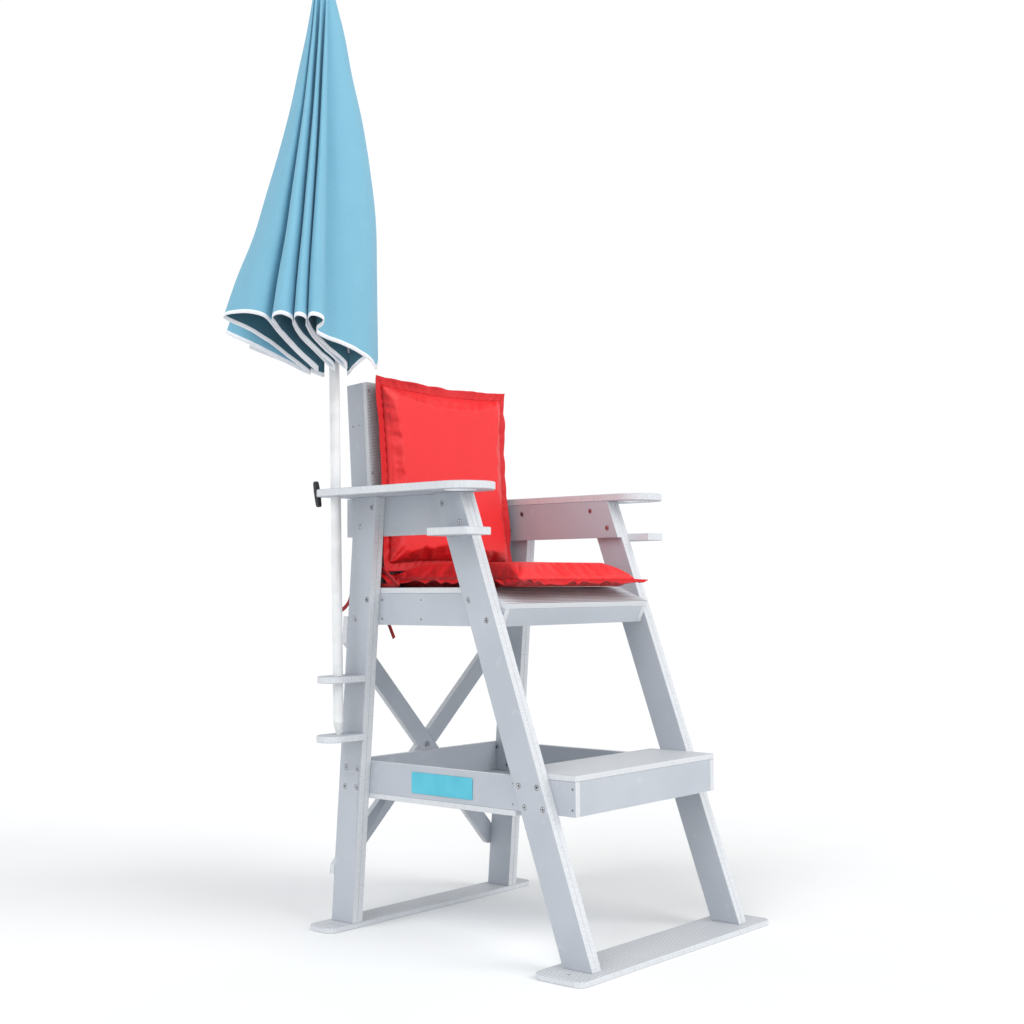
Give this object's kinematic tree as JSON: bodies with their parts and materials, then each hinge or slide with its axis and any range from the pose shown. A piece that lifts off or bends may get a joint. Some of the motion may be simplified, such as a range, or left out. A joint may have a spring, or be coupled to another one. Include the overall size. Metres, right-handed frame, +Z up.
{
  "type": "lifeguard chair",
  "caption": "High seat of bolted plastic boards with armrests, cup holders, step, tray and cross brace; cushions; closed parasol in a side holder.",
  "frame": {"origin": "centre of the front foot board's underside, on the ground", "axes": "+Z up; the sitter faces -Y, so the front is -Y; +X is the sitter's left, and the parasol stands at -X"},
  "size_m": [1.0138, 0.9625, 2.3888],
  "materials": {
    "board": "planed recycled plastic lumber, light grey",
    "steel": "stainless",
    "rib_steel": "white painted wire",
    "knob_black": "black moulded",
    "pole_white": "white painted tube",
    "parasol_grey": "moulded, pale grey",
    "canopy_cloth": "woven, blue with a white hem",
    "cushion_cloth": "woven, red"
  },
  "bodies": {
    "chair": {"arm_rail_left": "board", "arm_rail_right": "board", "armrest_left": "board", "armrest_right": "board", "back_cross_board_bottom": "board", "back_cross_board_lower": "board", "back_cross_board_upper": "board", "back_cushion": "cushion_cloth", "back_panel": "board", "back_stile_left": "board", "back_stile_right": "board", "brace_board_rising_left": "board", "brace_board_rising_right": "board", "brace_bolt": "steel", "clamp_insert": "steel", "cup_shelf_left": "board", "cup_shelf_right": "board", "front_foot_board": "board", "front_leg_left_inner": "board", "front_leg_left_outer": "board", "front_leg_right_inner": "board", "front_leg_right_outer": "board", "parasol_bracket_lower": "board", "parasol_bracket_upper": "board", "rear_foot_board": "board", "rear_leg_left_inner": "board", "rear_leg_left_outer": "board", "rear_leg_right_inner": "board", "rear_leg_right_outer": "board", "seat_cross_board_middle": "board", "seat_cross_board_rear": "board", "seat_cushion": "cushion_cloth", "seat_fascia": "board", "seat_panel": "board", "seat_rail_left": "board", "seat_rail_right": "board", "seat_slope": "board", "step_fascia": "board", "step_tread": "board", "tray_floor": "board", "tray_middle_board": "board", "tray_rail_left": "board", "tray_rail_right": "board", "tray_rear_board": "board"},
    "parasol_foot": {"parasol_tip": "parasol_grey"},
    "parasol": {"parasol_canopy": "canopy_cloth", "parasol_crown": "parasol_grey", "parasol_lower_pole": "pole_white", "parasol_rib_1": "rib_steel", "parasol_rib_2": "rib_steel", "parasol_rib_3": "rib_steel", "parasol_rib_4": "rib_steel", "parasol_rib_5": "rib_steel", "parasol_rib_6": "rib_steel", "parasol_rib_7": "rib_steel", "parasol_rib_8": "rib_steel", "parasol_runner": "parasol_grey", "parasol_upper_pole": "pole_white"},
    "clamp_screw": {"clamp_screw": "steel"},
    "clamp_knob": {"clamp_knob": "knob_black"}
  },
  "joints": [
    {"name": "parasol_lift", "type": "slide", "parent": "chair", "child": "parasol_foot", "axis": [-0.0073, 0.0085, 0.9999], "range_m": [0, 0.64]},
    {"name": "parasol_turn", "type": "hinge", "parent": "parasol_foot", "child": "parasol", "pos_m": [-0.362, 0.67909, 0.474], "axis": [-0.0073, 0.0085, 0.9999], "continuous": true},
    {"name": "clamp_slide", "type": "slide", "parent": "chair", "child": "clamp_screw", "axis": [0, 1, 0], "range_m": [0, 0.00375]},
    {"name": "clamp_turn", "type": "hinge", "parent": "clamp_screw", "child": "clamp_knob", "pos_m": [-0.36622, 0.74, 1.056], "axis": [0, 1, 0], "range_deg": [0, 1080]}
  ],
  "couplings": [
    {"joint": "clamp_turn", "follows": "clamp_slide", "rad_per_m": 5026.5}
  ]
}
